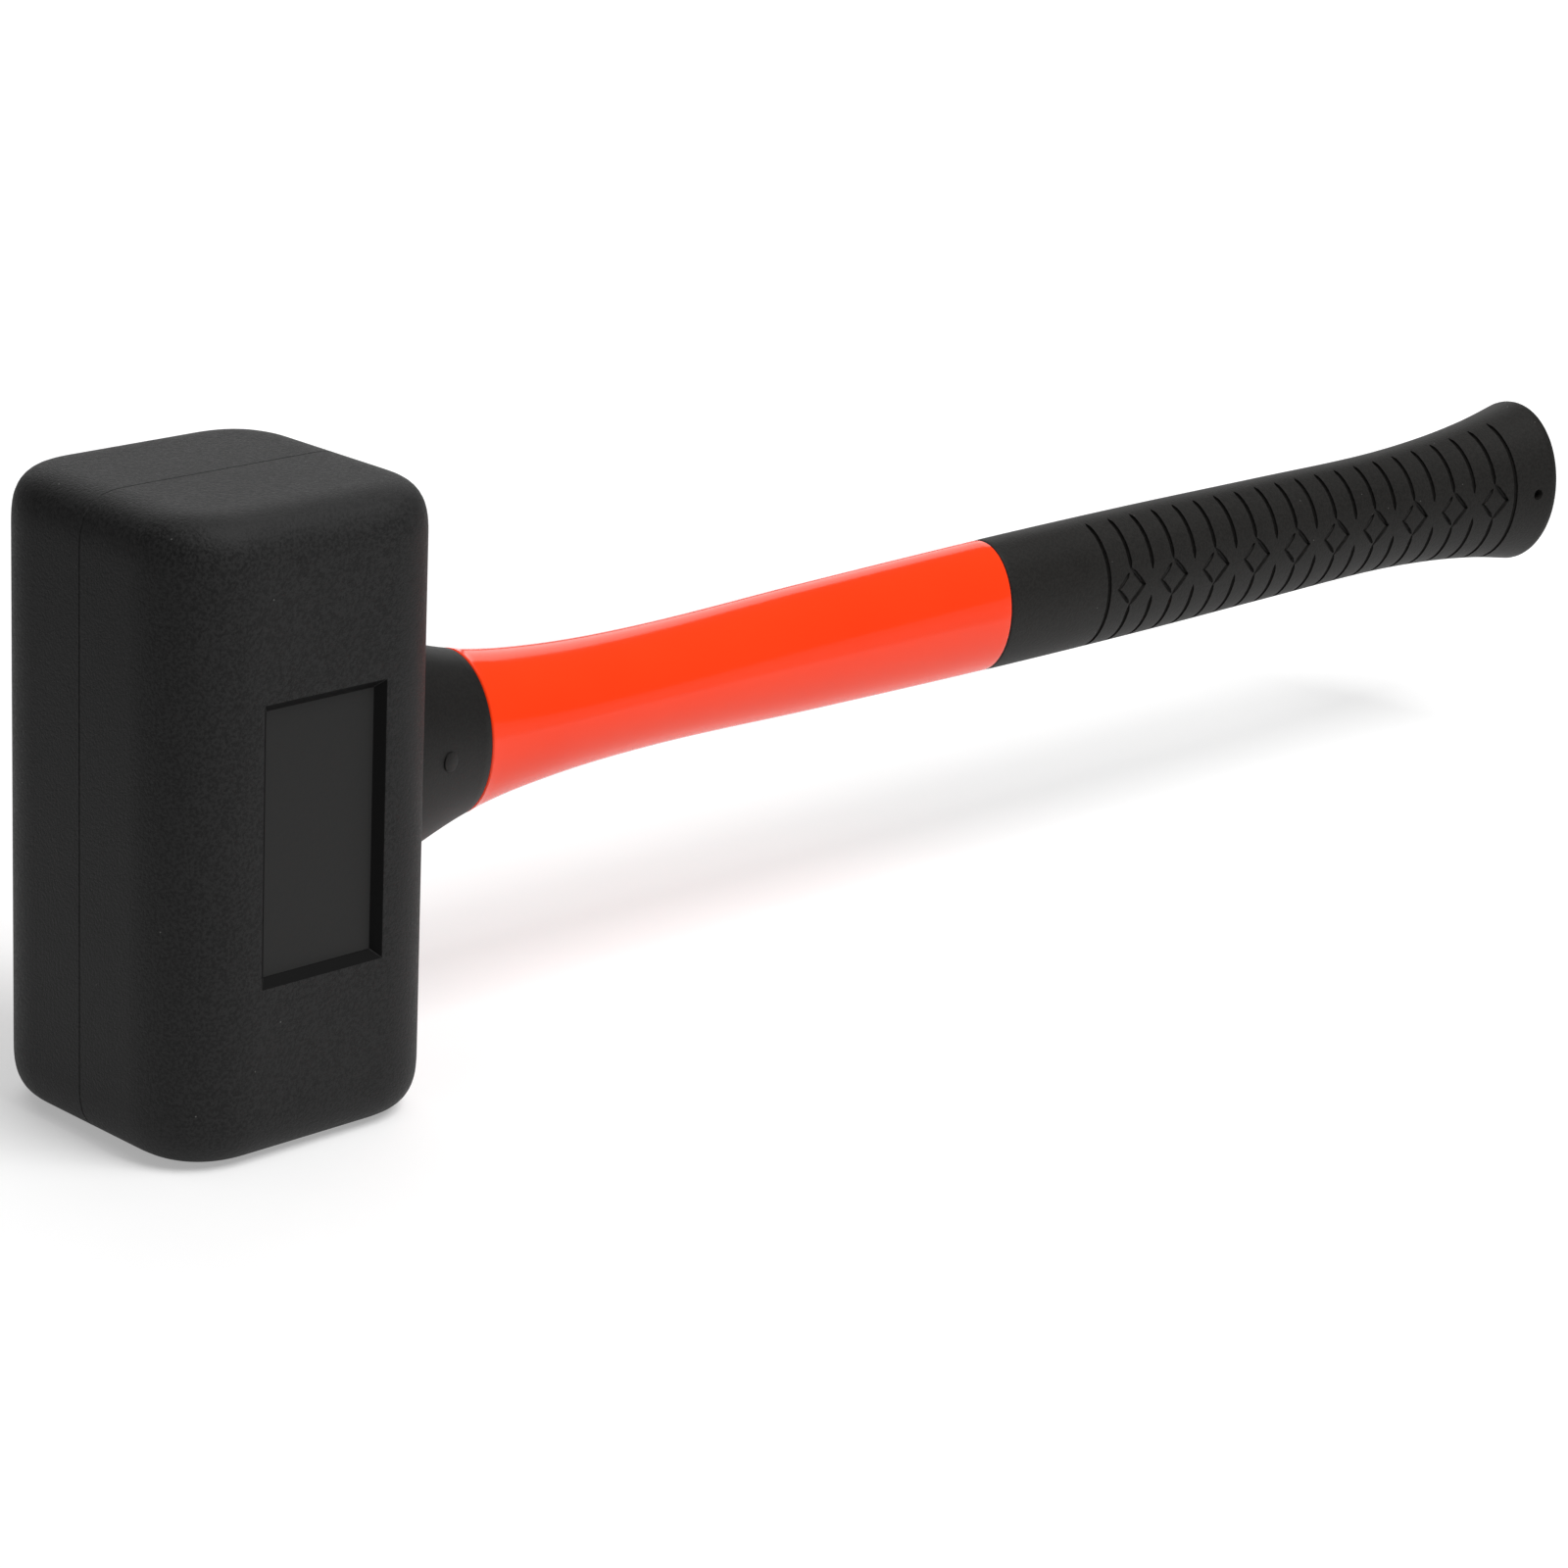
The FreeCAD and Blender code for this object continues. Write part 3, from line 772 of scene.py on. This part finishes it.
def beyond(direction, start_at, end_at):
    """0 on the near side of a line across the floor and 1 on its far side, in metres."""
    inputs = {0: place, 1: direction}
    along = nodes.node("ShaderNodeVectorMath", inputs, output=1, operation="DOT_PRODUCT")
    return along.between(start_at, end_at)


# Painted light: the floor glows under and behind the hammer, most of all far behind, and the glow
# fades out in front of it and past both its ends. Far away all round it glows pale again. Where it
# does not glow, its colour is painted darker: painted shade.
lit = 1 - beyond((-0.71, -0.71, 0.0), 0.24, 0.45)
lit *= 1 - beyond((-0.82, 0.57, 0.0), 0.1, 0.5)
lit *= 1 - beyond((0.58, -0.81, 0.0), 0.32, 0.41)
behind = beyond((0.71, 0.71, 0.0), 0.1, 1.2)
distance = nodes.node("ShaderNodeVectorMath", {0: place}, output=1, operation="LENGTH")
away = distance.between(0.9, 2.6)
glow = lit * (0.36 + behind * 0.4) + away * 0.45
lay_on(
    painted_floor_light,
    nodes,
    # Painted shade: a darker floor colour where the painted glow does not fall.
    Base_Color=lit.tint((0.5, 0.5, 0.5), fibres.tint((0.62, 0.62, 0.62), (0.63, 0.63, 0.63))),
    Roughness=0.7 + fibres * 0.1,
    # Painted light: the floor's glow.
    Emission_Color=glow.tint((0.0, 0.0, 0.0), (1.0, 1.0, 1.0)),
)
floor.data.materials.append(painted_floor_light)


def softbox(name, location, target, size, watts):
    """A rectangular soft light that points at a target."""
    light = bpy.data.lights.new(name, "AREA")
    light.shape = "RECTANGLE"
    light.size, light.size_y = size
    light.energy = watts
    lamp = bpy.data.objects.new(name, light)
    lamp.location = location
    lamp.rotation_euler = (Vector(target) - Vector(location)).to_track_quat("-Z", "Y").to_euler()
    lamp.visible_camera = False
    bpy.context.collection.objects.link(lamp)


softbox("front_top", (0.3, -0.8, 1.3), (0.15, 0.0, 0.05), (0.8, 0.8), 20.5)
softbox("overhead", (0.2, 0.2, 1.5), (0.2, 0.2, 0.0), (1.6, 1.6), 8.5)
softbox("back_wall", (1.2, 1.5, 0.9), (0.1, 0.0, 0.1), (2.2, 1.2), 10.8)

world = bpy.data.worlds.new("studio_air")
world.use_nodes = True
world.node_tree.nodes["Background"].inputs["Color"].default_value = (1.0, 1.0, 1.0, 1.0)
world.node_tree.nodes["Background"].inputs["Strength"].default_value = 0.14
bpy.context.scene.world = world
# Plain colours straight from the lights, with no film curve over them.
bpy.context.scene.view_settings.view_transform = "Standard"

lens = bpy.data.cameras.new("camera")
lens.lens = 111.0
lens.sensor_width = 36.0
camera = bpy.data.objects.new("camera", lens)
AZIMUTH, ELEVATION, ROLL = (math.radians(angle) for angle in (-45.17, 18.28, 2.72))
# From the head's middle: back towards the camera, and the small shifts that frame the handle.
CAMERA_BACK = 1.0135
CAMERA_RIGHT = 0.11868
CAMERA_UP = 0.00138
back = Vector(
    (math.sin(AZIMUTH) * math.cos(ELEVATION), -math.cos(AZIMUTH) * math.cos(ELEVATION), math.sin(ELEVATION))
)
level_right = Vector((0, 0, 1)).cross(back).normalized()
level_up = back.cross(level_right)
right = math.cos(ROLL) * level_right + math.sin(ROLL) * level_up
up = math.cos(ROLL) * level_up - math.sin(ROLL) * level_right
turn = Matrix((right, up, back)).transposed().to_4x4()
camera.matrix_world = Matrix.Translation(
    HEAD_MIDDLE + back * CAMERA_BACK + right * CAMERA_RIGHT + up * CAMERA_UP
) @ turn
bpy.context.collection.objects.link(camera)
bpy.context.scene.camera = camera
